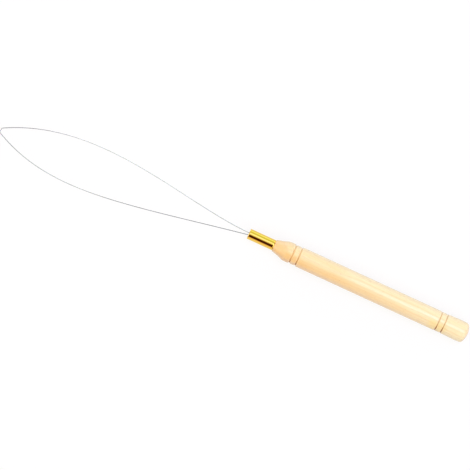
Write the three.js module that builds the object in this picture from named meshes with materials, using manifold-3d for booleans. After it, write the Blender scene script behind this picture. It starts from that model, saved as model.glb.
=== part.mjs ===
// Hair extension loop tool: a turned wooden handle, a brass ferrule pressed on its tenon,
// and a loop of thin spring wire whose two tails are bonded in a pilot bore in the tenon.
// Millimetres. The tool lies on a table: +X runs along the handle to its butt, +Z is up,
// and the loop lies flat. While it is modelled, x = 0 is the ferrule's mouth and the
// handle's axis is the X axis.

import * as THREE from 'three';
import { mergeVertices } from 'three/addons/utils/BufferGeometryUtils.js';
import Module from 'manifold-3d';

// Ferrule
const ferruleLength = 14;
const ferruleDiameter = 5.5;
const ferruleWall = 0.35;
const ferruleEdgeChamfer = 0.1;

// Handle: nose, collar and end knob
const handleLength = 106.1; // from the shoulder that the ferrule seats on to the butt
const noseProud = 0.3; // how far the nose stands out round the ferrule
const coneAngle = 15.8;
const coneLength = 4.3;
const coveRadius = 8; // the hollow round between the cone and the steeper shoulder
const shoulderAngle = 24;
const shoulderRadius = 4; // the round between the shoulder and the collar
const collarDiameter = 10.3;
const gripDiameter = 10.4;
const knobNeckDiameter = 10.3;
const knobDiameter = 10.7;
const knobCrownFromButt = 5.2;
const buttEdgeDiameter = 10.4;
const buttRound = 1.8;
const buttCrown = 1.2; // how far the butt's middle stands beyond its edge
const buttFlatDiameter = 4.4;
const buttFlatRound = 3; // the round between the butt's crown and its flat middle

// Pairs of turned grooves, each with a bead left standing between them
const frontGroove = { width: 1.1, depth: 0.55 };
const rearGroove = { width: 0.85, depth: 0.4 };
const frontGrooveFromShoulder = 10.15; // centre of the first front groove
const frontGroovePitch = 3.3;
const frontBeadDiameter = 10.0;
const rearGrooveFromButt = 12.8; // centre of the last rear groove
const rearGroovePitch = 3.15;
const rearBeadDiameter = 10.2;
const grooveLipRound = 0.3;
const grooveRootRound = 0.12;

// Tenon and pilot bore
const tenonClearance = 0.05;
const tenonRecess = 0.5; // the tenon's end lies this far inside the ferrule's mouth
const tenonChamfer = 0.4;
const boreDepth = 24;
const drillPointAngle = 118;

// Wire loop
const wireDiameter = 0.4;
const loopLength = 134.6; // from the ferrule's mouth to the middle of the folded tip
const tipFlat = 2.35; // distance between the two corners of the folded tip
const tipLean = 80; // angle between the fold and the handle's axis
const tipOffset = 4.8; // how far the tip lies to the -Y side of the handle's axis
const tipDroop = 2; // how far the tip hangs below the handle's axis under the loop's weight
const rootBendReach = 0.6; // how far each bend at the tenon reaches along the wire
const tipBendReach = 0.4; // how far each bend of the fold reaches along the wire
const tailSpread = 1.0; // distance between the centres of the two tails
const tailLengths = [22, 20.5];
// Each leg leaves the tenon and arrives at the tip at an angle to the handle's axis, and
// holds each direction for a share of the loop's length.
const upperLeg = { side: 1, leaveAngle: 0, leaveHold: 0.28, arriveAngle: 28.8, arriveHold: 0.376 };
const lowerLeg = { side: -1, leaveAngle: 10.5, leaveHold: 0.478, arriveAngle: 26.5, arriveHold: 0.292 };

// Cured resin round the tails
const resinFilm = 0.2; // between a tail and the wall of the bore
const resinClearance = 0.05;
const meniscusRise = 0.25;

// Fineness of the faceted surfaces
const facetsAround = 32;
const wireSides = 8;
const arcStep = 22; // largest turn between two facets of a rounded corner, in degrees
const legSteps = 64;
const bendSteps = 6;

const radians = THREE.MathUtils.degToRad;
const wireRadius = wireDiameter / 2;
const ferruleRadius = ferruleDiameter / 2;
const ferruleBoreRadius = ferruleRadius - ferruleWall;
const tenonRadius = ferruleBoreRadius - tenonClearance;
const noseRadius = ferruleRadius + noseProud;
const pilotRadius = tailSpread / 2 + wireRadius + resinFilm;
const shoulderX = ferruleLength;
const buttX = shoulderX + handleLength;

// A corner of a turned profile: its place along the axis, its radius and its rounding.
const corner = (x, radius, round = 0) => ({ at: new THREE.Vector2(radius, x), round });

// Replaces each rounded corner of a profile by a tangent arc, which its two straight
// neighbours limit where they are short.
function roundedProfile(corners) {
  const points = [];
  corners.forEach(({ at, round }, index) => {
    const isEnd = index === 0 || index === corners.length - 1;
    if (isEnd || round === 0) {
      points.push(at.clone());
      return;
    }
    const back = corners[index - 1].at.clone().sub(at);
    const ahead = corners[index + 1].at.clone().sub(at);
    const room = 0.49 * Math.min(back.length(), ahead.length());
    back.normalize();
    ahead.normalize();
    const turn = Math.PI - Math.acos(THREE.MathUtils.clamp(back.dot(ahead), -1, 1));
    const reach = Math.min(round * Math.tan(turn / 2), room);
    const radius = reach / Math.tan(turn / 2);
    const middle = back.clone().add(ahead).normalize();
    const centre = at.clone().addScaledVector(middle, radius / Math.cos(turn / 2));
    const first = at.clone().addScaledVector(back, reach).sub(centre);
    const sense = Math.sign(back.cross(ahead));
    const steps = Math.max(1, Math.ceil(turn / radians(arcStep)));
    for (let step = 0; step <= steps; step += 1) {
      const swept = (-sense * turn * step) / steps;
      points.push(first.clone().rotateAround(new THREE.Vector2(), swept).add(centre));
    }
  });
  return points;
}

// Turns a profile about the X axis, with one of its facets facing straight down.
function turned(corners) {
  const halfFacet = Math.PI / facetsAround;
  const geometry = new THREE.LatheGeometry(roundedProfile(corners), facetsAround, halfFacet);
  return geometry.rotateZ(-Math.PI / 2);
}

// The corners of one V groove, from its front lip to its rear lip.
function grooveCorners(centreX, groove, frontRadius, rearRadius) {
  const rootRadius = Math.min(frontRadius, rearRadius) - groove.depth;
  return [
    corner(centreX - groove.width / 2, frontRadius, grooveLipRound),
    corner(centreX, rootRadius, grooveRootRound),
    corner(centreX + groove.width / 2, rearRadius, grooveLipRound),
  ];
}

function handleGeometry() {
  const boreEndX = tenonRecess + boreDepth;
  const drillPoint = pilotRadius / Math.tan(radians(drillPointAngle / 2));
  const collarRadius = collarDiameter / 2;
  const gripRadius = gripDiameter / 2;
  const frontBeadRadius = frontBeadDiameter / 2;
  const rearBeadRadius = rearBeadDiameter / 2;
  const coneEndX = shoulderX + coneLength;
  const coneEndRadius = noseRadius + coneLength * Math.tan(radians(coneAngle));
  const collarX = coneEndX + (collarRadius - coneEndRadius) / Math.tan(radians(shoulderAngle));
  const firstGrooveX = shoulderX + frontGrooveFromShoulder;
  const lastGrooveX = buttX - rearGrooveFromButt;
  return turned([
    corner(boreEndX + drillPoint, 0),
    corner(boreEndX, pilotRadius),
    corner(tenonRecess, pilotRadius),
    corner(tenonRecess, tenonRadius - tenonChamfer),
    corner(tenonRecess + tenonChamfer, tenonRadius),
    corner(shoulderX, tenonRadius),
    corner(shoulderX, noseRadius),
    corner(coneEndX, coneEndRadius, coveRadius),
    corner(collarX, collarRadius, shoulderRadius),
    ...grooveCorners(firstGrooveX, frontGroove, collarRadius, frontBeadRadius),
    ...grooveCorners(firstGrooveX + frontGroovePitch, frontGroove, frontBeadRadius, gripRadius),
    ...grooveCorners(lastGrooveX - rearGroovePitch, rearGroove, gripRadius, rearBeadRadius),
    ...grooveCorners(lastGrooveX, rearGroove, rearBeadRadius, knobNeckDiameter / 2),
    corner(buttX - knobCrownFromButt, knobDiameter / 2, shoulderRadius),
    corner(buttX - buttCrown, buttEdgeDiameter / 2, buttRound),
    corner(buttX, buttFlatDiameter / 2, buttFlatRound),
    corner(buttX, 0),
  ]);
}

// A short brass tube. Its mouth is rounded over to half the wall, and its rear end seats
// on the handle's shoulder.
function ferruleGeometry() {
  const lipRound = ferruleWall / 2;
  const middleOfBore = corner(ferruleLength / 2, ferruleBoreRadius);
  return turned([
    middleOfBore,
    corner(0, ferruleBoreRadius, lipRound),
    corner(0, ferruleRadius, lipRound),
    corner(ferruleLength - ferruleEdgeChamfer, ferruleRadius),
    corner(ferruleLength, ferruleRadius - ferruleEdgeChamfer),
    corner(ferruleLength, ferruleBoreRadius),
    middleOfBore,
  ]);
}

// The wire's centre line, made of sections that each have their own number of steps, so
// that rings lie close together in the bends and far apart on the legs.
class FormedWire extends THREE.Curve {
  constructor(sections) {
    super();
    this.sections = sections;
    this.steps = sections.reduce((sum, section) => sum + section.steps, 0);
  }

  // The loop hangs as a cantilever does under its own weight, held at the ferrule's mouth.
  droopAt(x) {
    const share = THREE.MathUtils.clamp(-x / loopLength, 0, 1);
    return (tipDroop * (6 * share ** 2 - 4 * share ** 3 + share ** 4)) / 3;
  }

  getPoint(t, target = new THREE.Vector3()) {
    let stepsLeft = THREE.MathUtils.clamp(t, 0, 1) * this.steps;
    const isHere = (section) => {
      const here = stepsLeft <= section.steps;
      stepsLeft -= here ? 0 : section.steps;
      return here;
    };
    const section = this.sections.find(isHere) ?? this.sections.at(-1);
    section.curve.getPoint(Math.min(stepsLeft / section.steps, 1), target);
    target.z = -this.droopAt(target.x);
    return target;
  }

  getUtoTmapping(u) {
    return u;
  }
}

// The sections of one half of the wire, from the end of its tail to its corner of the tip.
function halfWire(leg, tailLength, tipCorner, foldDirection) {
  const along = (from, direction, distance) => from.clone().addScaledVector(direction, distance);
  const heading = (angle, forward) =>
    new THREE.Vector3(forward * Math.cos(radians(angle)), leg.side * Math.sin(radians(angle)), 0);
  const root = new THREE.Vector3(tenonRecess, (leg.side * tailSpread) / 2, 0);
  const intoBore = new THREE.Vector3(1, 0, 0);
  const leaving = heading(leg.leaveAngle, -1);
  const arriving = heading(leg.arriveAngle, 1);
  const bendStart = along(root, intoBore, rootBendReach);
  const legStart = along(root, leaving, rootBendReach);
  const legEnd = along(tipCorner, arriving, tipBendReach);
  const foldStart = along(tipCorner, foldDirection, tipBendReach);
  const leaveControl = along(root, leaving, leg.leaveHold * loopLength);
  const arriveControl = along(tipCorner, arriving, leg.arriveHold * loopLength);
  const bend = (from, at, to) => new THREE.QuadraticBezierCurve3(from, at, to);
  return [
    { curve: new THREE.LineCurve3(along(root, intoBore, tailLength), bendStart), steps: 1 },
    { curve: bend(bendStart, root, legStart), steps: bendSteps },
    { curve: new THREE.CubicBezierCurve3(legStart, leaveControl, arriveControl, legEnd), steps: legSteps },
    { curve: bend(legEnd, tipCorner, foldStart), steps: bendSteps },
  ];
}

// The same section drawn from its other end.
function reversed({ curve, steps }) {
  const backwards = curve.clone();
  const names = ['v0', 'v1', 'v2', 'v3'].filter((name) => curve[name]);
  names.forEach((name, index) => backwards[name].copy(curve[names.at(-1 - index)]));
  return { curve: backwards, steps };
}

// A round sweep along the whole wire. The channel that the wire needs in the resin is the
// same sweep with a larger radius and longer tails.
function wireGeometry(radius, extraTail = 0) {
  const lean = radians(tipLean);
  const foldDirection = new THREE.Vector3(-Math.cos(lean), -Math.sin(lean), 0);
  const tip = new THREE.Vector3(-loopLength, -tipOffset, 0);
  const upperCorner = tip.clone().addScaledVector(foldDirection, -tipFlat / 2);
  const lowerCorner = tip.clone().addScaledVector(foldDirection, tipFlat / 2);
  const [upperTail, lowerTail] = tailLengths.map((length) => length + extraTail);
  const upperHalf = halfWire(upperLeg, upperTail, upperCorner, foldDirection);
  const lowerHalf = halfWire(lowerLeg, lowerTail, lowerCorner, foldDirection.clone().negate());
  const foldFrom = upperHalf.at(-1).curve.v2;
  const foldTo = lowerHalf.at(-1).curve.v2;
  const path = new FormedWire([
    ...upperHalf,
    { curve: new THREE.LineCurve3(foldFrom, foldTo), steps: 1 },
    ...lowerHalf.map(reversed).reverse(),
  ]);
  const outline = Array.from({ length: wireSides }, (_, side) => {
    const angle = (side * 2 * Math.PI) / wireSides;
    return new THREE.Vector2(radius * Math.cos(angle), radius * Math.sin(angle));
  });
  const options = { extrudePath: path, steps: path.steps, bevelEnabled: false };
  return new THREE.ExtrudeGeometry(new THREE.Shape(outline), options);
}

const wasm = await Module();
wasm.setup();

// A closed geometry as a solid that can be cut.
function solidOf(geometry) {
  const bare = geometry.clone();
  bare.deleteAttribute('normal');
  bare.deleteAttribute('uv');
  const merged = mergeVertices(bare);
  const mesh = new wasm.Mesh({
    numProp: 3,
    vertProperties: new Float32Array(merged.attributes.position.array),
    triVerts: new Uint32Array(merged.index.array),
  });
  mesh.merge();
  return new wasm.Manifold(mesh);
}

function geometryOf(solid) {
  const mesh = solid.getMesh();
  const geometry = new THREE.BufferGeometry();
  geometry.setAttribute('position', new THREE.BufferAttribute(mesh.vertProperties, 3));
  geometry.setIndex(new THREE.BufferAttribute(mesh.triVerts, 1));
  geometry.computeVertexNormals();
  return geometry;
}

// The resin fills the pilot bore round the two tails, and stands a little proud of the
// tenon's end as a meniscus.
function resinGeometry() {
  const radius = pilotRadius - resinClearance;
  const endX = tenonRecess + boreDepth - resinClearance;
  const body = turned([
    corner(tenonRecess - meniscusRise, 0),
    corner(tenonRecess - meniscusRise, radius * 0.6, radius),
    corner(tenonRecess, radius),
    corner(endX, radius),
    corner(endX, 0),
  ]);
  const channels = wireGeometry(wireRadius + resinClearance, resinClearance);
  return geometryOf(solidOf(body).subtract(solidOf(channels)));
}

function piece(name, geometry, color, roughness, metalness) {
  const material = new THREE.MeshStandardMaterial({ color, roughness, metalness });
  const mesh = new THREE.Mesh(geometry, material);
  mesh.name = name;
  return mesh;
}

const tool = new THREE.Group();
tool.add(
  piece('handle', handleGeometry(), 0xf3d9a6, 0.42, 0),
  piece('ferrule', ferruleGeometry(), 0xd9a93a, 0.16, 1),
  piece('wire_loop', wireGeometry(wireRadius), 0xb9bab6, 0.28, 1),
  piece('adhesive_plug', resinGeometry(), 0xd9c78e, 0.2, 0),
);

// The origin is the middle of the bounding box's underside, so the tool lies on z = 0.
const bounds = new THREE.Box3().setFromObject(tool, true);
const centre = bounds.getCenter(new THREE.Vector3());
tool.position.set(-centre.x, -centre.y, -bounds.min.z);

export default tool;
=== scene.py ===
import math

import bpy
import numpy as np
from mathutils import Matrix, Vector


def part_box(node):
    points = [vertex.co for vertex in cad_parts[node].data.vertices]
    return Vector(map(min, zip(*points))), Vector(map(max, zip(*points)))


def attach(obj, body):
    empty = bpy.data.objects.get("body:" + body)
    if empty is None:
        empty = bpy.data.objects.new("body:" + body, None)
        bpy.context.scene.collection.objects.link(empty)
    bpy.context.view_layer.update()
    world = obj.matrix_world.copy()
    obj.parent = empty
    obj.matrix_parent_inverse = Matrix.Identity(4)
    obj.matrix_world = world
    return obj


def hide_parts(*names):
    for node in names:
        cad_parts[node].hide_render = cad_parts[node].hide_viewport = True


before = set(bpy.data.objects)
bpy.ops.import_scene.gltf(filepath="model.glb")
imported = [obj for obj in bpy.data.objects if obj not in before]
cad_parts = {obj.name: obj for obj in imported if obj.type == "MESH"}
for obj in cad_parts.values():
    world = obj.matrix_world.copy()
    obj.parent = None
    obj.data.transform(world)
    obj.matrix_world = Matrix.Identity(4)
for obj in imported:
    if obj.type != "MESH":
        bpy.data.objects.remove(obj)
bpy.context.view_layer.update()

# Handle: one turning of pale, close-grained wood under a clear semi-gloss lacquer. Its nose
# carries the tenon that the ferrule is pressed on, with a drilled bore for the wire's tails,
# and a pair of cut grooves near each end of the grip leaves a bead standing between them.

mm = 0.001
handle_low, handle_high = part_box("handle")
ferrule_low, ferrule_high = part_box("ferrule")
mouth_x = ferrule_low.x
shoulder_x = ferrule_high.x
butt_x = handle_high.x
axis_y = (handle_low.y + handle_high.y) / 2
axis_z = (handle_low.z + handle_high.z) / 2

nose_diameter = 6.1 * mm
nose_edge_round = 0.08 * mm
cone_length = 4.3 * mm
cone_angle = math.radians(15.8)
cove_round = 8 * mm
shoulder_angle = math.radians(24)
shoulder_round = 4 * mm
collar_diameter = 10.3 * mm
grip_diameter = 10.4 * mm
knob_neck_diameter = 10.3 * mm
knob_diameter = 10.7 * mm
knob_crown_from_butt = 5.2 * mm
butt_edge_diameter = 10.4 * mm
butt_round = 1.8 * mm
butt_crown = 1.2 * mm
butt_flat_diameter = 4.4 * mm
butt_flat_round = 3 * mm

front_groove_from_shoulder = 10.15 * mm
front_groove_pitch = 3.3 * mm
front_groove_width, front_groove_depth = 1.1 * mm, 0.55 * mm
front_bead_diameter = 10.0 * mm
rear_groove_from_butt = 12.8 * mm
rear_groove_pitch = 3.15 * mm
rear_groove_width, rear_groove_depth = 0.85 * mm, 0.4 * mm
rear_bead_diameter = 10.2 * mm
groove_lip_round = 0.3 * mm
groove_root_round = 0.12 * mm

tenon_diameter = 4.7 * mm
tenon_recess = 0.5 * mm
tenon_chamfer = 0.4 * mm
bore_diameter = 1.8 * mm
bore_depth = 24 * mm
drill_point_angle = math.radians(118)

handle_sides = 160
arc_step = math.radians(5)
longest_step = 0.8 * mm
crease_angle = math.radians(35)


def rounded_profile(corners):
    """The outline through corners (x, radius, rounding) as an array of points. A rounded
    corner becomes an arc tangent to both of its straight neighbours: the arc starts
    rounding * tan(turn / 2) before the corner, or just under half way along the shorter
    neighbour where that is less."""
    corners = np.array(corners, float)
    points = [corners[:1, :2]]
    for before, corner, after in zip(corners[:-2], corners[1:-1], corners[2:]):
        back, ahead = before[:2] - corner[:2], after[:2] - corner[:2]
        room = 0.49 * min(np.linalg.norm(back), np.linalg.norm(ahead))
        back, ahead = back / np.linalg.norm(back), ahead / np.linalg.norm(ahead)
        turn = math.pi - math.acos(np.clip(back @ ahead, -1, 1))
        if corner[2] == 0 or turn == 0:
            points.append(corner[None, :2])
            continue
        reach = min(corner[2] * math.tan(turn / 2), room)
        to_centre = (back + ahead) / np.linalg.norm(back + ahead)
        centre = corner[:2] + to_centre * reach / math.sin(turn / 2)
        share = np.linspace(0, 1, max(3, math.ceil(turn / arc_step) + 1))[:, None]
        first = corner[:2] + back * reach - centre
        last = corner[:2] + ahead * reach - centre
        arc = np.sin((1 - share) * turn) * first + np.sin(share * turn) * last
        points.append(centre + arc / math.sin(turn))
    points.append(corners[-1:, :2])
    return np.concatenate(points)


def evenly_stepped(points, longest):
    """The same outline with each straight stretch cut into equal steps no longer than
    longest: a stretch of length l is cut into ceil(l / longest) steps."""
    lengths = np.linalg.norm(np.diff(points, axis=0), axis=1)
    counts = np.maximum(1, np.ceil(lengths / longest)).astype(int)
    stretch = np.repeat(np.arange(len(counts)), counts)
    step = np.arange(counts.sum()) - np.repeat(np.cumsum(counts) - counts, counts)
    place = np.append(stretch + step / counts[stretch], len(counts))
    index = np.arange(len(points))
    return np.stack([np.interp(place, index, column) for column in points.T], axis=1)


def turned_rings(profile, sides):
    """One ring of points for each profile point (x, r): side j of n lies at the angle
    a = 2 pi j / n from the top, at (x, axis y + r sin a, axis z + r cos a)."""
    x, radius = profile[:, :1], profile[:, 1:]
    angle = np.arange(sides) * 2 * math.pi / sides
    y = axis_y + radius * np.sin(angle)
    z = axis_z + radius * np.cos(angle)
    return np.stack([np.broadcast_to(x, y.shape), y, z], axis=2)


def ring_mesh(name, rings, first_pole=None, last_pole=None):
    """A closed mesh through rings[i, j], where each ring closes on itself. Quads join ring i
    to ring i + 1. Each end is closed by triangles to its pole, and with no poles the last
    ring is joined to the first."""
    count, sides = rings.shape[:2]
    here = np.arange(sides)
    there = (here + 1) % sides
    start = sides * np.arange(count if first_pole is None else count - 1)[:, None]
    beyond = (start + sides) % (count * sides)
    quads = np.stack([start + here, beyond + here, beyond + there, start + there], axis=2)
    points = [rings.reshape(-1, 3)]
    faces = quads.reshape(-1, 4).tolist()
    if first_pole is not None:
        points += [np.array([first_pole, last_pole], float)]
        first_index = np.full(sides, count * sides)
        end = (count - 1) * sides
        faces += np.stack([first_index, here, there], axis=1).tolist()
        faces += np.stack([end + here, first_index + 1, end + there], axis=1).tolist()
    mesh = bpy.data.meshes.new(name)
    mesh.from_pydata(np.concatenate(points).tolist(), [], faces)
    mesh.shade_smooth()
    mesh.set_sharp_from_angle(angle=crease_angle)
    piece = bpy.data.objects.new(name, mesh)
    bpy.context.collection.objects.link(piece)
    return piece


def write_mask(piece, name, values):
    """Stores one number for each vertex of the piece as a named attribute."""
    mask = piece.data.attributes.new(name, "FLOAT", "POINT")
    mask.data.foreach_set("value", np.ascontiguousarray(values, dtype=np.float32))


def groove_corners(centre, width, depth, front_diameter, rear_diameter):
    """The three corners of a V groove, from its front lip to its rear lip."""
    root = min(front_diameter, rear_diameter) / 2 - depth
    return [
        (centre - width / 2, front_diameter / 2, groove_lip_round),
        (centre, root, groove_root_round),
        (centre + width / 2, rear_diameter / 2, groove_lip_round),
    ]


first_front_groove = shoulder_x + front_groove_from_shoulder
last_front_groove = first_front_groove + front_groove_pitch
last_rear_groove = butt_x - rear_groove_from_butt
first_rear_groove = last_rear_groove - rear_groove_pitch
front_groove = (front_groove_width, front_groove_depth)
rear_groove = (rear_groove_width, rear_groove_depth)
bore_end_x = mouth_x + tenon_recess + bore_depth
drill_point = bore_diameter / 2 / math.tan(drill_point_angle / 2)
cone_end_x = shoulder_x + cone_length
cone_end_diameter = nose_diameter + 2 * cone_length * math.tan(cone_angle)
shoulder_length = (collar_diameter - cone_end_diameter) / 2 / math.tan(shoulder_angle)
# The solid's facets touch the true round only at their corners, so the round is drawn in to
# their flats and lies on the floor as they do.
facet_share = (handle_high.z - handle_low.z) / knob_diameter

handle_corners = [
    (bore_end_x + drill_point, 0, 0),
    (bore_end_x, bore_diameter / 2, 0),
    (mouth_x + tenon_recess, bore_diameter / 2, 0),
    (mouth_x + tenon_recess, tenon_diameter / 2 - tenon_chamfer, 0),
    (mouth_x + tenon_recess + tenon_chamfer, tenon_diameter / 2, 0),
    (shoulder_x, tenon_diameter / 2, 0),
    (shoulder_x, nose_diameter / 2, nose_edge_round),
    (cone_end_x, cone_end_diameter / 2, cove_round),
    (cone_end_x + shoulder_length, collar_diameter / 2, shoulder_round),
    *groove_corners(first_front_groove, *front_groove, collar_diameter, front_bead_diameter),
    *groove_corners(last_front_groove, *front_groove, front_bead_diameter, grip_diameter),
    *groove_corners(first_rear_groove, *rear_groove, grip_diameter, rear_bead_diameter),
    *groove_corners(last_rear_groove, *rear_groove, rear_bead_diameter, knob_neck_diameter),
    (butt_x - knob_crown_from_butt, knob_diameter / 2, shoulder_round),
    (butt_x - butt_crown, butt_edge_diameter / 2, butt_round),
    (butt_x, butt_flat_diameter / 2, butt_flat_round),
    (butt_x, 0, 0),
]
handle_profile = evenly_stepped(rounded_profile(handle_corners), longest_step)
handle_profile[:, 1] *= facet_share
handle_rings = turned_rings(handle_profile[1:-1], handle_sides)
handle_poles = [(x, axis_y, axis_z) for x in (handle_profile[0, 0], handle_profile[-1, 0])]
handle = ring_mesh("turned_handle", handle_rings, *handle_poles)

groove_centres = [first_front_groove, last_front_groove, first_rear_groove, last_rear_groove]
fully_worn_turn = 2.0  # radians of turn for each millimetre of the outline


def write_handle_masks():
    """Three masks from the profile alone. Groove is 1 at a groove's root and falls to 0 at
    half a front groove's width from it. End grain is the square of the surface normal's share
    along the fibres. Worn edge is the outline's outward turn for each millimetre, divided by
    fully_worn_turn."""
    x = handle_profile[:, 0]
    from_groove = np.abs(x[:, None] - groove_centres).min(axis=1)
    groove = np.clip(1 - from_groove / (front_groove_width / 2), 0, 1)
    slope = np.gradient(handle_profile, axis=0)
    length = np.linalg.norm(slope, axis=1)
    end_grain = (slope[:, 1] / length) ** 2
    heading = np.unwrap(np.arctan2(slope[:, 1], slope[:, 0]))
    bulge = -np.gradient(heading) / length * mm
    worn_edge = np.clip(bulge / fully_worn_turn, 0, 1)
    for name, along in (("groove", groove), ("end_grain", end_grain), ("worn_edge", worn_edge)):
        over_rings = np.repeat(along[1:-1], handle_sides)
        write_mask(handle, name, np.append(over_rings, along[[0, -1]]))


write_handle_masks()


def new_material(name):
    """An empty material with its Principled shader joined to the output."""
    material = bpy.data.materials.new(name)
    material.use_nodes = True
    tree = material.node_tree
    tree.nodes.clear()
    shader = tree.nodes.new("ShaderNodeBsdfPrincipled")
    output = tree.nodes.new("ShaderNodeOutputMaterial")
    tree.links.new(shader.outputs["BSDF"], output.inputs["Surface"])
    return material, tree, shader


def fill(tree, target, inputs):
    """Sets a node's inputs, by name or number: a socket is linked, any other value is set."""
    for key, value in inputs.items():
        if isinstance(value, bpy.types.NodeSocket):
            tree.links.new(value, target.inputs[key])
        else:
            target.inputs[key].default_value = value


def add(tree, kind, inputs, output=0, **settings):
    """Adds a shader node with these inputs and settings, and gives its output socket."""
    made = tree.nodes.new("ShaderNode" + kind)
    for name, value in settings.items():
        setattr(made, name, value)
    fill(tree, made, inputs)
    return made.outputs[output]


def calculate(tree, operation, first, second=0.0, clamp=False):
    """first (operation) second, as a Math node."""
    return add(tree, "Math", {0: first, 1: second}, operation=operation, use_clamp=clamp)


def remap(tree, value, low, high, to_low=0.0, to_high=1.0):
    """The value carried from low..high to to_low..to_high, and held at the ends."""
    return add(tree, "MapRange", {0: value, 1: low, 2: high, 3: to_low, 4: to_high})


def mix_colours(tree, share, first, second):
    """The first colour at share 0 and the second at share 1."""
    return add(tree, "Mix", {0: share, 6: first, 7: second}, 2, data_type="RGBA")


def stretched_noise(tree, vector, frequency, detail=2.0, roughness=0.5, output="Fac"):
    """Noise whose cells measure 1 / frequency metres along each of the three axes."""
    scaled = add(tree, "VectorMath", {0: vector, 1: frequency}, operation="MULTIPLY")
    inputs = {"Vector": scaled, "Scale": 1.0, "Detail": detail, "Roughness": roughness}
    return add(tree, "TexNoise", inputs, output)


def new_group(name, inputs, outputs):
    """An empty shader node group with these inputs, as name: (kind, value), and outputs."""
    group = bpy.data.node_groups.new(name, "ShaderNodeTree")
    for label, (kind, value) in inputs.items():
        socket = group.interface.new_socket(label, in_out="INPUT", socket_type="NodeSocket" + kind)
        if value is not None:
            socket.default_value = value
    for label in outputs:
        group.interface.new_socket(label, in_out="OUTPUT", socket_type="NodeSocketFloat")
    source = group.nodes.new("NodeGroupInput").outputs
    sink = group.nodes.new("NodeGroupOutput")
    return group, source, sink


def handling_haze_group():
    """The faint smears that hands leave on a polished surface: cloudy patches a few
    millimetres wide, drawn out along the piece, with a fine break-up inside them."""
    inputs = {"Coordinate": ("Vector", None), "Amount": ("Float", 1.0)}
    group, source, sink = new_group("handling_haze", inputs, ["Haze"])
    patches = stretched_noise(group, source["Coordinate"], (110, 260, 260), 2.0)
    smears = stretched_noise(group, source["Coordinate"], (900, 3200, 3200), 3.0, 0.65)
    patches = remap(group, patches, 0.45, 0.7)
    smears = remap(group, smears, 0.4, 0.75)
    haze = calculate(group, "MULTIPLY", patches, smears)
    haze = calculate(group, "MULTIPLY", haze, source["Amount"], clamp=True)
    fill(group, sink, {"Haze": haze})
    return group


handling_haze = handling_haze_group()
haze_roughness = 0.12


def use_group(tree, group, inputs):
    """Places a node group with these inputs, and gives its output sockets."""
    made = tree.nodes.new("ShaderNodeGroup")
    made.node_tree = group
    fill(tree, made, inputs)
    return made.outputs


warm_wood = (0.97, 0.655, 0.25, 1)
pale_wood = (0.975, 0.865, 0.525, 1)
palest_wood = (0.985, 0.94, 0.585, 1)
# Palest wood is painted light for the near side at the butt.
near_groove_yellow = (0.97, 0.83, 0.37, 1)
late_wood = (0.92, 0.60, 0.25, 1)
fibre_shade = (0.92, 0.66, 0.31, 1)
pore_brown = (0.50, 0.28, 0.11, 1)
# Brown of the burnt grooves, also carrying painted shade on their near side.
burn_and_shade_brown = (0.42, 0.19, 0.045, 1)
bare_edge = (0.98, 0.86, 0.60, 1)
# Grey of the painted shade along the near flank.
flank_shade_grey = (0.76, 0.58, 0.47, 1)

# Places along the wood are measured from its shoulder, and places across it from its axis,
# with the far side at +Y and the near side at -Y. An effect changes between its two places.
warm_nose_length = 14 * mm
# Paler towards the far side: a painted sheen where the light falls.
painted_sheen_across = (-2.6 * mm, 2.2 * mm)
# Palest on the near side near the butt: painted light.
near_butt_light_along = (80 * mm, 102 * mm)
near_butt_light_across = (0.0, -2.4 * mm)
# Yellower round the rear grooves on the near side.
yellower_from_groove = (5.4 * mm, 3.2 * mm)
yellower_across = (0.4 * mm, -1.6 * mm)
# Painted shade along the near flank fades over this stretch.
flank_shade_along = (6 * mm, 60 * mm)
# Groove burn, deepened by painted shade towards the near side.
groove_darkening_along = (10 * mm, 85 * mm)
groove_shade_across = (5 * mm, -4 * mm)


def wood_tone(tree, place, along, across):
    """The slow shifts of tone. Warm wood grows paler towards the butt, partly its own tone and
    partly painted light, paler on the far side as a painted sheen, and is warmer at the nose,
    with a mottle over it. On the near side painted light makes it palest at the butt, and it is
    yellower round the rear grooves."""
    # Paler towards the butt: partly the wood's own tone, partly painted light.
    towards_butt = remap(tree, along, 0.0, butt_x - shoulder_x, -0.1, 1.15)
    at_nose = remap(tree, along, 0.0, warm_nose_length, 0.35, 0.0)
    # Painted sheen: paler towards the far side, where the light falls.
    painted_sheen = remap(tree, across, *painted_sheen_across, 0.0, 0.66)
    mottle = stretched_noise(tree, place, (38, 190, 190), 3.0, 0.55)
    mottle = remap(tree, mottle, 0.3, 0.7, -0.25, 0.25)
    paleness = calculate(tree, "ADD", towards_butt, painted_sheen)
    paleness = calculate(tree, "SUBTRACT", paleness, at_nose)
    paleness = calculate(tree, "ADD", paleness, mottle, clamp=True)
    tone = mix_colours(tree, paleness, warm_wood, pale_wood)

    # Painted light: palest on the near side near the butt.
    near_butt = remap(tree, along, *near_butt_light_along)
    near_side = remap(tree, across, *near_butt_light_across)
    painted_light_near_butt = calculate(tree, "MULTIPLY", near_butt, near_side)
    tone = mix_colours(tree, painted_light_near_butt, tone, palest_wood)

    # Turns the near side yellower round the rear grooves.
    from_groove = calculate(tree, "SUBTRACT", along, first_rear_groove - shoulder_x)
    from_groove = calculate(tree, "ABSOLUTE", from_groove)
    yellower = remap(tree, from_groove, *yellower_from_groove, 0.0, 0.85)
    near_side = remap(tree, across, *yellower_across)
    yellower = calculate(tree, "MULTIPLY", yellower, near_side)
    return mix_colours(tree, yellower, tone, near_groove_yellow)


ring_spacing = 1.7 * mm
ring_wander = 5 * mm
pith_from_axis = (0, 24 * mm, 17 * mm)
darkens_from, darkest_at = 0.35, 0.93  # as shares of one ring's width


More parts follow.
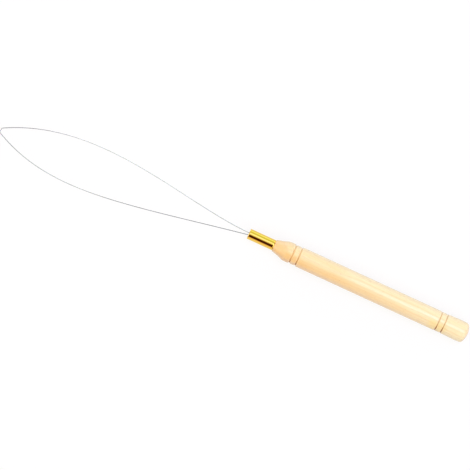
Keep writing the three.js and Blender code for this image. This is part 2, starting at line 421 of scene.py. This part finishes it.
def growth_rings(tree, place):
    """Rings round a pith that lies outside the handle, one every ring_spacing, pushed about
    by a slow noise. Each ring darkens slowly outwards and ends at once."""
    wander = stretched_noise(tree, place, (9, 75, 75), 2.0, output="Color")
    wander = add(tree, "VectorMath", {0: wander, 1: (0.5, 0.5, 0.5)}, operation="SUBTRACT")
    furthest = (0, ring_wander, ring_wander)
    wander = add(tree, "VectorMath", {0: wander, 1: furthest}, operation="MULTIPLY")
    moved = add(tree, "VectorMath", {0: place, 1: wander}, operation="ADD")
    moved = add(tree, "VectorMath", {0: moved, 1: pith_from_axis}, operation="ADD")
    flat = add(tree, "VectorMath", {0: moved, 1: (0, 1, 1)}, operation="MULTIPLY")
    distance = add(tree, "VectorMath", {0: flat}, "Value", operation="LENGTH")
    rings = calculate(tree, "DIVIDE", distance, ring_spacing)
    within = calculate(tree, "FRACT", rings)
    rise = remap(tree, within, darkens_from, darkest_at)
    fall = remap(tree, within, darkest_at, 1.0, 1.0, 0.0)
    rise = calculate(tree, "POWER", rise, 1.8)
    return calculate(tree, "MULTIPLY", rise, fall)


def tint(tree, colour, mask, share, other):
    """The colour with other mixed into it, by the mask times the share."""
    return mix_colours(tree, calculate(tree, "MULTIPLY", mask, share), colour, other)


def painted_flank_shade(tree, along, across, upward):
    """The share of painted shade along the near flank, a grey streak that darkens its underside,
    by the angle from straight up. It starts at 44 degrees, is full from 54 to 62, and a fifth
    of it is left past 72. It is strongest near the nose."""
    angle = calculate(tree, "ARCTAN2", calculate(tree, "MULTIPLY", across, -1.0), upward)
    onto_flank = remap(tree, angle, math.radians(44), math.radians(54))
    below_flank = remap(tree, angle, math.radians(62), math.radians(72), 1.0, 0.2)
    flank = calculate(tree, "MULTIPLY", onto_flank, below_flank)
    strength = remap(tree, along, *flank_shade_along, 0.38, 0.12)
    return calculate(tree, "MULTIPLY", strength, flank)


def groove_burn_and_shade(tree, groove, along, across):
    """How brown a groove is: a burn in the cut, deepened by painted shade towards the near side,
    where the share rises as the fourth power of the way across, and deeper in the rear grooves
    than in the front ones."""
    burn_and_shade = remap(tree, across, *groove_shade_across)
    burn_and_shade = calculate(tree, "POWER", burn_and_shade, 4.0)
    burn_and_shade = remap(tree, burn_and_shade, 0.0, 1.0, 0.2, 1.0)
    deeper = remap(tree, along, *groove_darkening_along, 0.8, 1.35)
    burn_and_shade = calculate(tree, "MULTIPLY", burn_and_shade, deeper)
    inside = remap(tree, groove, 0.25, 0.8)
    return calculate(tree, "MULTIPLY", inside, burn_and_shade, clamp=True)


def lacquered_wood():
    """Pale wood with growth rings, fibres and short pores, with painted shade along the near
    flank, bare at its edges, darker on its end grain and burnt brown in the grooves, the brown
    deepened by painted shade on the near side. A clear lacquer lies over it, thinner in the
    grooves, and over the fine rings that the lathe left."""
    material, tree, shader = new_material("lacquered_wood")
    place = add(tree, "TexCoord", {}, "Object")
    to_axis = {"Vector": place, "Location": (-shoulder_x, -axis_y, -axis_z)}
    place = add(tree, "Mapping", to_axis)
    along, across, upward = add(tree, "SeparateXYZ", {0: place}).node.outputs
    colour = wood_tone(tree, place, along, across)

    fibres = stretched_noise(tree, place, (70, 3600, 3600), 4.0, 0.6)
    pores = stretched_noise(tree, place, (520, 7500, 7500), 1.0)
    pores = remap(tree, pores, 0.66, 0.74)
    colour = tint(tree, colour, growth_rings(tree, place), 0.34, late_wood)
    colour = tint(tree, colour, remap(tree, fibres, 0.42, 0.72), 0.5, fibre_shade)
    colour = tint(tree, colour, pores, 0.45, pore_brown)
    # Painted shade: a grey streak along the near flank.
    flank_shade = painted_flank_shade(tree, along, across, upward)
    colour = mix_colours(tree, flank_shade, colour, flank_shade_grey)

    edge = add(tree, "Attribute", {}, "Fac", attribute_name="worn_edge")
    grain_end = add(tree, "Attribute", {}, "Fac", attribute_name="end_grain")
    groove = add(tree, "Attribute", {}, "Fac", attribute_name="groove")
    colour = tint(tree, colour, edge, 0.25, bare_edge)
    colour = tint(tree, colour, grain_end, 0.3, late_wood)
    # Burn in the grooves, deepened on the near side by painted shade.
    burn_and_shade = groove_burn_and_shade(tree, groove, along, across)
    colour = mix_colours(tree, burn_and_shade, colour, burn_and_shade_brown)

    haze = use_group(tree, handling_haze, {"Coordinate": place, "Amount": 1.0})["Haze"]
    haze = calculate(tree, "MULTIPLY", haze, haze_roughness)
    roughness = remap(tree, fibres, 0.3, 0.7, 0.36, 0.48)
    roughness = calculate(tree, "ADD", roughness, haze)
    coat = calculate(tree, "SUBTRACT", 0.9, calculate(tree, "MULTIPLY", groove, 0.75))

    turning = stretched_noise(tree, place, (5200, 4, 4), 2.0)
    height = calculate(tree, "MULTIPLY", fibres, 0.5)
    height = calculate(tree, "SUBTRACT", height, calculate(tree, "MULTIPLY", pores, 0.9))
    height = calculate(tree, "ADD", height, calculate(tree, "MULTIPLY", turning, 0.35))
    normal = add(tree, "Bump", {"Height": height, "Distance": 0.012 * mm, "Strength": 1.0})
    look = {
        "Base Color": colour,
        "Roughness": roughness,
        "Coat Weight": coat,
        "Coat Roughness": 0.24,
        "Coat IOR": 1.52,
        "Normal": normal,
    }
    fill(tree, shader, look)
    return material


handle.data.materials.append(lacquered_wood())
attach(handle, "root")
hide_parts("handle")

# Ferrule: a short length of drawn brass tube, polished bright and pressed on the tenon up to
# the handle's shoulder. Its mouth is rounded over, and buffing has eased its rear edge.

ferrule_diameter = 5.5 * mm
ferrule_wall = 0.35 * mm
mouth_ease_length, mouth_ease_depth = 0.35 * mm, 0.06 * mm
rear_ease_length, rear_ease_depth = 0.5 * mm, 0.12 * mm
ease_round = 1.5 * mm
rear_edge_round = 0.05 * mm
ferrule_sides = 144

bore_radius = ferrule_diameter / 2 - ferrule_wall
ferrule_corners = [
    ((mouth_x + shoulder_x) / 2, bore_radius, 0),
    (mouth_x, bore_radius, ferrule_wall / 2),
    (mouth_x, ferrule_diameter / 2 - mouth_ease_depth, ferrule_wall / 3),
    (mouth_x + mouth_ease_length, ferrule_diameter / 2, ease_round),
    (shoulder_x - rear_ease_length, ferrule_diameter / 2, ease_round),
    (shoulder_x, ferrule_diameter / 2 - rear_ease_depth, rear_edge_round),
    (shoulder_x, bore_radius, 0),
    ((mouth_x + shoulder_x) / 2, bore_radius, 0),
]
ferrule_profile = evenly_stepped(rounded_profile(ferrule_corners), longest_step)[:-1]
ferrule_profile[:, 1] *= facet_share
ferrule = ring_mesh("brass_ferrule", turned_rings(ferrule_profile, ferrule_sides))


def drawn_metal_group():
    """The marks of drawing metal through a die: fine lines that run 40 mm along the first
    axis, scores that are a third as many and three times as long, and dull patches."""
    inputs = {"Coordinate": ("Vector", None), "Lines per metre": ("Float", 9000.0)}
    group, source, sink = new_group("drawn_metal", inputs, ["Lines", "Scores", "Dullness"])
    count = source["Lines per metre"]
    spread = add(group, "CombineXYZ", {0: 25.0, 1: count, 2: count})
    lines = stretched_noise(group, source["Coordinate"], spread, 3.0, 0.6)
    spread = add(group, "VectorMath", {0: spread, "Scale": 0.33}, operation="SCALE")
    scores = stretched_noise(group, source["Coordinate"], spread, 1.0)
    dullness = stretched_noise(group, source["Coordinate"], (160, 420, 420), 3.0)
    outputs = {
        "Lines": remap(group, lines, 0.3, 0.7),
        "Scores": remap(group, scores, 0.66, 0.74),
        "Dullness": remap(group, dullness, 0.45, 0.75),
    }
    fill(group, sink, outputs)
    return group


drawn_metal = drawn_metal_group()

bright_brass = (0.87, 0.605, 0.115, 1)
tarnished_brass = (0.68, 0.385, 0.065, 1)


def polished_brass():
    """Yellow brass with fine drawing lines under the polish and a touch of tarnish where it
    was handled."""
    material, tree, shader = new_material("polished_brass")
    place = add(tree, "TexCoord", {}, "Object")
    marks = use_group(tree, drawn_metal, {"Coordinate": place, "Lines per metre": 9000.0})
    haze = use_group(tree, handling_haze, {"Coordinate": place, "Amount": 1.0})["Haze"]
    tarnish = calculate(tree, "MULTIPLY", marks["Dullness"], 0.22)
    tarnish = calculate(tree, "ADD", tarnish, calculate(tree, "MULTIPLY", haze, 0.25))
    colour = mix_colours(tree, tarnish, bright_brass, tarnished_brass)
    haze = calculate(tree, "MULTIPLY", haze, haze_roughness)
    roughness = remap(tree, marks["Lines"], 0.0, 1.0, 0.03, 0.07)
    roughness = calculate(tree, "ADD", roughness, haze)
    height = calculate(tree, "SUBTRACT", marks["Lines"], marks["Scores"])
    normal = add(tree, "Bump", {"Height": height, "Distance": 0.0012 * mm, "Strength": 1.0})
    look = {"Base Color": colour, "Metallic": 1.0, "Roughness": roughness, "Normal": normal}
    fill(tree, shader, look)
    return material


ferrule.data.materials.append(polished_brass())
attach(ferrule, "root")
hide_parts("ferrule")

# Wire loop: one length of hard drawn stainless spring wire. It is folded twice to a short
# flat tip, its two legs bow apart into a leaf shape, and its two tails run side by side into
# the bore of the tenon, where resin holds them.

wire_diameter = 0.4 * mm
loop_length = 134.6 * mm
tip_flat = 2.35 * mm
tip_lean = math.radians(80)
tip_offset = 4.8 * mm
tip_droop = 2 * mm
root_bend_reach = 0.6 * mm
tip_bend_reach = 0.4 * mm
tail_spread = 1.0 * mm
drawn_inside = 0.006 * mm
wire_sides = 16
steps_per_leg = 400
steps_per_bend = 8
steps_per_tail = 24
steps_per_fold = 8
# Each leg: its side, its tail's length, the angles to the handle's axis at which it leaves
# the tenon and arrives at the tip, and the shares of the loop's length that hold them.
upper_leg = (1, 22 * mm, math.radians(0), 0.28, math.radians(28.8), 0.376)
lower_leg = (-1, 20.5 * mm, math.radians(10.5), 0.478, math.radians(26.5), 0.292)

fold = np.array((-math.cos(tip_lean), -math.sin(tip_lean)))
tip_middle = np.array((-loop_length, -tip_offset))


def bezier(controls, steps):
    """Points on the curve with these control points: the sum over k of
    choose(n, k) (1 - t)^(n - k) t^k control k, at t = 0, 1 / steps, ... 1."""
    controls = np.array(controls)
    degree = len(controls) - 1
    t = np.linspace(0, 1, steps + 1)[:, None]
    weights = [math.comb(degree, k) * (1 - t) ** (degree - k) * t**k for k in range(degree + 1)]
    return sum(weight * control for weight, control in zip(weights, controls))


def half_wire(leg, tip_corner, along_fold):
    """One half of the wire in the plane, from its tail's end to its corner of the tip: a
    straight tail, a bend at the tenon's face, the leg as one cubic curve and the tip's bend."""
    side, tail_length, leave_angle, leave_hold, arrive_angle, arrive_hold = leg
    root = np.array((tenon_recess, side * tail_spread / 2))
    inwards = np.array((1, 0))
    leaving = np.array((-math.cos(leave_angle), side * math.sin(leave_angle)))
    arriving = np.array((math.cos(arrive_angle), side * math.sin(arrive_angle)))
    bend_start = root + inwards * root_bend_reach
    leg_start = root + leaving * root_bend_reach
    leg_end = tip_corner + arriving * tip_bend_reach
    fold_start = tip_corner + along_fold * tip_bend_reach
    leave_control = root + leaving * leave_hold * loop_length
    arrive_control = tip_corner + arriving * arrive_hold * loop_length
    tail = bezier([root + inwards * tail_length, bend_start], steps_per_tail)
    root_bend = bezier([bend_start, root, leg_start], steps_per_bend)
    curve = bezier([leg_start, leave_control, arrive_control, leg_end], steps_per_leg)
    tip_bend = bezier([leg_end, tip_corner, fold_start], steps_per_bend)
    return np.concatenate([tail, root_bend[1:], curve[1:], tip_bend[1:]])


def wire_path():
    """The whole centre line. In the plane it is one half, the fold and the other half turned
    about. Its height is that of a cantilever under its own weight: at the share s of the way
    from the mouth to the tip it hangs tip_droop (6 s^2 - 4 s^3 + s^4) / 3 below the axis."""
    upper_half = half_wire(upper_leg, tip_middle - fold * tip_flat / 2, fold)
    lower_half = half_wire(lower_leg, tip_middle + fold * tip_flat / 2, -fold)
    across_fold = bezier([upper_half[-1], lower_half[-1]], steps_per_fold)[1:-1]
    x, y = np.concatenate([upper_half, across_fold, lower_half[::-1]]).T
    share = np.clip(-x / loop_length, 0, 1)
    droop = tip_droop * (6 * share**2 - 4 * share**3 + share**4) / 3
    return np.stack([mouth_x + x, axis_y + y, axis_z - droop], axis=1)


def swept_rings(path, radius, sides):
    """One ring of points for each path point p, square to the path: side j of n lies at
    p + radius (cos a S + sin a U), with a = 2 pi j / n, U as near to straight up as the path
    lets it be, and S beside it."""
    tangent = np.gradient(path, axis=0)
    tangent /= np.linalg.norm(tangent, axis=1)[:, None]
    beside = np.cross(tangent, (0, 0, 1))
    beside /= np.linalg.norm(beside, axis=1)[:, None]
    upward = np.cross(beside, tangent)
    angle = (np.arange(sides) * 2 * math.pi / sides)[:, None]
    offset = np.cos(angle) * beside[:, None] + np.sin(angle) * upward[:, None]
    return path[:, None] + radius * offset


path = wire_path()
# The solid's wire is drawn in longer steps, so the round one is held just inside it.
drawn_radius = wire_diameter / 2 - drawn_inside
wire_rings = swept_rings(path, drawn_radius, wire_sides)
wire = ring_mesh("spring_wire_loop", wire_rings, path[0], path[-1])


def write_wire_map(piece):
    """A UV map that follows the wire: u is the length along it and v the arc round it, both
    in metres, so that marks keep their real size."""
    length = np.append(0, np.cumsum(np.linalg.norm(np.diff(path, axis=0), axis=1)))
    length = np.append(np.repeat(length, wire_sides), length[[0, -1]])
    corner_count = len(piece.data.loops)
    vertex = np.empty(corner_count, np.int32)
    piece.data.loops.foreach_get("vertex_index", vertex)
    side = vertex % wire_sides
    face_start = np.empty(len(piece.data.polygons), np.int32)
    piece.data.polygons.foreach_get("loop_start", face_start)
    size = np.diff(np.append(face_start, corner_count))
    spread = np.maximum.reduceat(side, face_start) - np.minimum.reduceat(side, face_start)
    wraps = np.repeat(spread > 1, size)
    side = np.where(wraps & (side == 0), wire_sides, side)
    around = side / wire_sides * math.pi * wire_diameter
    layer = piece.data.uv_layers.new(name="along_wire")
    uv = np.stack([length[vertex], around], axis=1).astype(np.float32)
    layer.uv.foreach_set("vector", uv.ravel())


write_wire_map(wire)

bright_steel = (0.745, 0.80, 0.82, 1)
dull_steel = (0.34, 0.37, 0.38, 1)
wire_length = float(np.linalg.norm(np.diff(path, axis=0), axis=1).sum())
# Painted shade and reflection: how dark the wire is painted at shares of its length, from the
# upper tail to the lower one.
painted_shade_along_wire = [
    (0.07, 0.30),
    (0.14, 0.35),
    (0.20, 0.08),
    (0.38, 0.05),
    (0.44, 0.65),
    (0.52, 1.00),
    (0.60, 0.60),
    (0.66, 0.20),
    (0.72, 0.75),
    (0.93, 0.95),
]


def spring_wire():
    """Stainless steel with the fine lines of the die and random dull patches, and painted shade
    and reflection that darken some stretches of the wire more than others."""
    material, tree, shader = new_material("spring_wire")
    along = add(tree, "UVMap", {}, uv_map="along_wire")
    marks = use_group(tree, drawn_metal, {"Coordinate": along, "Lines per metre": 30000.0})
    length = add(tree, "SeparateXYZ", {0: along})
    share = calculate(tree, "DIVIDE", length, wire_length)
    ramp = tree.nodes.new("ShaderNodeValToRGB")
    tree.links.new(share, ramp.inputs[0])
    stops = ramp.color_ramp.elements
    while len(stops) < len(painted_shade_along_wire):
        stops.new(1.0)
    for stop, (position, dull) in zip(stops, painted_shade_along_wire):
        stop.position = position
        stop.color = (dull, dull, dull, 1)
    patches = stretched_noise(tree, along, (110, 600, 1), 2.0)
    patches = remap(tree, patches, 0.35, 0.65, -0.12, 0.12)
    # Random dull patches plus the painted shade and reflection along the wire.
    dullness_and_shade = calculate(tree, "ADD", ramp.outputs["Color"], patches, clamp=True)
    colour = mix_colours(tree, dullness_and_shade, bright_steel, dull_steel)
    colour = tint(tree, colour, marks["Scores"], 0.35, dull_steel)
    roughness = remap(tree, marks["Lines"], 0.0, 1.0, 0.16, 0.27)
    height = calculate(tree, "SUBTRACT", marks["Lines"], marks["Scores"])
    normal = add(tree, "Bump", {"Height": height, "Distance": 0.0008 * mm, "Strength": 1.0})
    look = {"Base Color": colour, "Metallic": 1.0, "Roughness": roughness, "Normal": normal}
    fill(tree, shader, look)
    return material


wire.data.materials.append(spring_wire())
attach(wire, "root")
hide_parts("wire_loop")

# Resin plug: clear amber adhesive run into the tenon's bore round the two tails and cured
# there. Its face stands a little proud as a meniscus that climbs each tail.

resin_clearance = 0.05 * mm
meniscus_rise = 0.25 * mm
climb_on_wire = 0.1 * mm
climb_reach = 0.09 * mm
resin_sides = 96
rings_on_face = 40
bubbles_per_metre = 9000.0

resin_radius = bore_diameter / 2 - resin_clearance
resin_front = mouth_x + tenon_recess
resin_end = bore_end_x - resin_clearance


def resin_rings():
    """The face is a grid of circles whose height is meniscus_rise (1 - (r / R)^2), plus
    climb_on_wire exp(-d / climb_reach) at the distance d from the surface of each tail. A
    straight wall and a flat end follow."""
    radius = resin_radius * np.linspace(0, 1, rings_on_face + 1)[1:]
    face = np.stack([np.full_like(radius, resin_front), radius], axis=1)
    back_edge = np.array([(resin_end, resin_radius)])
    wall = evenly_stepped(np.concatenate([face[-1:], back_edge]), 4 * longest_step)[1:]
    back = back_edge * (1, 0.5)
    rings = turned_rings(np.concatenate([face, wall, back]), resin_sides)
    face_points = rings[:rings_on_face]
    y, z = face_points[..., 1] - axis_y, face_points[..., 2] - axis_z
    share = (y**2 + z**2) / resin_radius**2
    height = meniscus_rise * (1 - share)
    for side in (-1, 1):
        from_wire = np.hypot(y - side * tail_spread / 2, z) - wire_diameter / 2
        climb = climb_on_wire * np.exp(-np.maximum(from_wire, 0) / climb_reach)
        height = height + climb * (1 - share)
    face_points[..., 0] -= height
    return rings


resin_poles = [(resin_front - meniscus_rise, axis_y, axis_z), (resin_end, axis_y, axis_z)]
resin = ring_mesh("resin_plug", resin_rings(), *resin_poles)

clear_amber = (0.66, 0.42, 0.13, 1)
cloudy_amber = (0.83, 0.66, 0.35, 1)


def cured_resin():
    """Glossy amber resin, cloudy in patches, with small bubbles under its skin."""
    material, tree, shader = new_material("cured_resin")
    place = add(tree, "TexCoord", {}, "Object")
    clouds = stretched_noise(tree, place, (2200, 2200, 2200), 3.0)
    colour = mix_colours(tree, remap(tree, clouds, 0.35, 0.65), clear_amber, cloudy_amber)
    cells = add(tree, "TexVoronoi", {"Vector": place, "Scale": bubbles_per_metre})
    bubbles = remap(tree, cells, 0.1, 0.28, 1.0, 0.0)
    colour = tint(tree, colour, bubbles, 0.5, cloudy_amber)
    haze = use_group(tree, handling_haze, {"Coordinate": place, "Amount": 0.8})["Haze"]
    roughness = remap(tree, haze, 0.0, 1.0, 0.12, 0.3)
    height = calculate(tree, "ADD", calculate(tree, "MULTIPLY", clouds, 0.4), bubbles)
    normal = add(tree, "Bump", {"Height": height, "Distance": 0.004 * mm, "Strength": 1.0})
    look = {
        "Base Color": colour,
        "Roughness": roughness,
        "IOR": 1.55,
        "Coat Weight": 0.5,
        "Coat Roughness": 0.08,
        "Normal": normal,
    }
    fill(tree, shader, look)
    return material


resin.data.materials.append(cured_resin())
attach(resin, "root")
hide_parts("adhesive_plug")

# Floor: a plain white sheet that the tool lies on. The camera and the metal see it white,
# and the little that is lit keeps the tool's soft shadow.

floor_half = 3.0
lit_share = 0.175
floor_white = (1, 1, 1, 1)
bounced_white = (0.35, 0.35, 0.35, 1)


def white_floor():
    """For the eye and for reflections, a light of strength 1 mixed with a lit white sheet.
    For light that bounces off it, a darker lit sheet alone."""
    material, tree, sheet = new_material("white_floor")
    rays = tree.nodes.new("ShaderNodeLightPath").outputs
    seen = calculate(tree, "MAXIMUM", rays["Is Camera Ray"], rays["Is Glossy Ray"])
    seen = calculate(tree, "MAXIMUM", seen, rays["Is Transmission Ray"])
    colour = mix_colours(tree, seen, bounced_white, floor_white)
    fill(tree, sheet, {"Base Color": colour, "Roughness": 0.9, "Specular IOR Level": 0.0})
    share = calculate(tree, "MULTIPLY", seen, 1 - lit_share)
    glow = add(tree, "Emission", {"Color": (1, 1, 1, 1), "Strength": 1.0})
    mixed = add(tree, "MixShader", {0: share, 1: sheet.outputs["BSDF"], 2: glow})
    output = next(found for found in tree.nodes if found.type == "OUTPUT_MATERIAL")
    tree.links.new(mixed, output.inputs["Surface"])
    return material


floor_mesh = bpy.data.meshes.new("floor")
floor_signs = ((-1, -1), (1, -1), (1, 1), (-1, 1))
floor_corners = [(x * floor_half, y * floor_half, 0) for x, y in floor_signs]
floor_mesh.from_pydata(floor_corners, [], [(0, 1, 2, 3)])
floor_mesh.materials.append(white_floor())
floor = bpy.data.objects.new("floor", floor_mesh)
bpy.context.collection.objects.link(floor)

# Light: a soft surround, bright overhead towards the near side and low on the far side, with
# one broad soft lamp high above the far side. Straight across the tool the surround has a
# dark opening on the near side, which polished metal shows.

surround_level = 1.095
# What the surround shows at each angle from straight up towards the far side, in degrees.
surround = [
    (-110, (0.32, 0.13, 0.34)),
    (-68, (0.35, 0.15, 0.36)),
    (-52, (1.20, 1.15, 1.10)),
    (-38, (1.80, 1.76, 1.46)),
    (-14, (1.60, 1.52, 1.32)),
    (0, (1.00, 0.95, 0.95)),
    (30, (0.54, 0.43, 0.43)),
    (54, (0.46, 0.36, 0.36)),
    (70, (1.35, 1.17, 1.28)),
    (84, (2.10, 2.00, 2.45)),
    (110, (2.10, 2.00, 2.45)),
]
# What it shows straight across the tool, in the directions that the polished tube mirrors.
strip = [
    (-110, (1.00, 0.79, 0.79)),
    (-88, (1.00, 0.77, 0.75)),
    (-66, (0.88, 0.64, 0.47)),
    (-62, (0.80, 0.59, 0.43)),
    (-58, (0.06, 0.01, 0.00)),
    (-26, (0.06, 0.01, 0.00)),
    (-10, (0.13, 0.04, 0.02)),
    (-4, (0.82, 0.81, 0.63)),
    (9, (0.92, 0.92, 0.75)),
    (13, (1.32, 1.47, 2.30)),
    (29, (1.32, 1.47, 2.30)),
    (35, (0.80, 0.82, 0.44)),
    (66, (0.76, 0.82, 0.40)),
    (84, (1.15, 1.55, 1.46)),
    (110, (1.15, 1.55, 1.46)),
]
strip_half_width = 0.20  # as the share of a direction that points along the tool
strip_blur = 0.06


def angle_ramp(tree, angle, tones):
    """A colour ramp over the angle, given in radians, through (degrees, colour) stops."""
    ramp = tree.nodes.new("ShaderNodeValToRGB")
    tree.links.new(remap(tree, angle, -math.pi, math.pi), ramp.inputs[0])
    stops = ramp.color_ramp.elements
    while len(stops) < len(tones):
        stops.new(1.0)
    for stop, (degrees, colour) in zip(stops, tones):
        stop.position = degrees / 360 + 0.5
        stop.color = (*colour, 1)
    return ramp.outputs["Color"]


def light_world():
    """White for the camera. For all other rays the surround, by the ray's angle from straight
    up towards +Y, with the strip where the ray's share along X is small."""
    world = bpy.data.worlds.new("studio")
    bpy.context.scene.world = world
    world.use_nodes = True
    tree = world.node_tree
    tree.nodes.clear()
    generated = add(tree, "TexCoord", {}, "Generated")
    towards = add(tree, "SeparateXYZ", {0: generated}).node.outputs
    angle = calculate(tree, "ARCTAN2", towards["Y"], towards["Z"])
    along = calculate(tree, "ABSOLUTE", towards["X"])
    edge = (strip_half_width - strip_blur, strip_half_width + strip_blur)
    across = remap(tree, along, *edge, 1.0, 0.0)
    tones = (angle_ramp(tree, angle, surround), angle_ramp(tree, angle, strip))
    seen = mix_colours(tree, across, *tones)
    camera_ray = tree.nodes.new("ShaderNodeLightPath").outputs["Is Camera Ray"]
    seen = mix_colours(tree, camera_ray, seen, (1, 1, 1, 1))
    level = remap(tree, camera_ray, 0.0, 1.0, surround_level, 1.0)
    background = add(tree, "Background", {"Color": seen, "Strength": level})
    output = tree.nodes.new("ShaderNodeOutputWorld")
    tree.links.new(background, output.inputs["Surface"])


light_world()

lamp_aim_x = 0.05
lamp_distance = 0.85
lamp_length, lamp_width = 0.18, 0.46
lamp_tilt_far = math.radians(12)
lamp_tilt_rear = math.radians(15)
lamp_watts = 1.15
lamp_colour = (0.62, 0.58, 1.0)

aim = Vector((lamp_aim_x, axis_y, axis_z))
towards_lamp = Vector((math.tan(lamp_tilt_rear), math.tan(lamp_tilt_far), 1)).normalized()
lamp_data = bpy.data.lights.new("soft_lamp", "AREA")
lamp_data.shape = "RECTANGLE"
lamp_data.size = lamp_length
lamp_data.size_y = lamp_width
lamp_data.energy = lamp_watts
lamp_data.color = lamp_colour
lamp = bpy.data.objects.new("soft_lamp", lamp_data)
lamp.location = aim + towards_lamp * lamp_distance
lamp.rotation_euler = (-math.asin(towards_lamp.y), lamp_tilt_rear, 0)
bpy.context.collection.objects.link(lamp)

# Camera: straight above the tool, turned so that the handle runs down to the right, and
# framed by where the ferrule's mouth lies in the photograph.

photo_side = 470
mouth_pixel = (248.86, 233.70)
metres_per_pixel = 0.5 * mm
handle_turn = math.radians(24.735)
camera_height = 0.93
sensor_width = 36.0

image_right = Vector((math.cos(handle_turn), math.sin(handle_turn), 0))
image_up = Vector((-math.sin(handle_turn), math.cos(handle_turn), 0))
to_middle = image_right * (photo_side / 2 - mouth_pixel[0])
to_middle += image_up * (mouth_pixel[1] - photo_side / 2)
above = Vector((mouth_x, axis_y, axis_z)) + to_middle * metres_per_pixel
camera_data = bpy.data.cameras.new("camera")
camera_data.sensor_width = sensor_width
camera_data.lens = sensor_width * camera_height / (photo_side * metres_per_pixel)
camera = bpy.data.objects.new("camera", camera_data)
camera.location = above + Vector((0, 0, camera_height))
camera.rotation_euler = (0, 0, handle_turn)
bpy.context.collection.objects.link(camera)
bpy.context.scene.camera = camera
bpy.context.scene.view_settings.view_transform = "Standard"
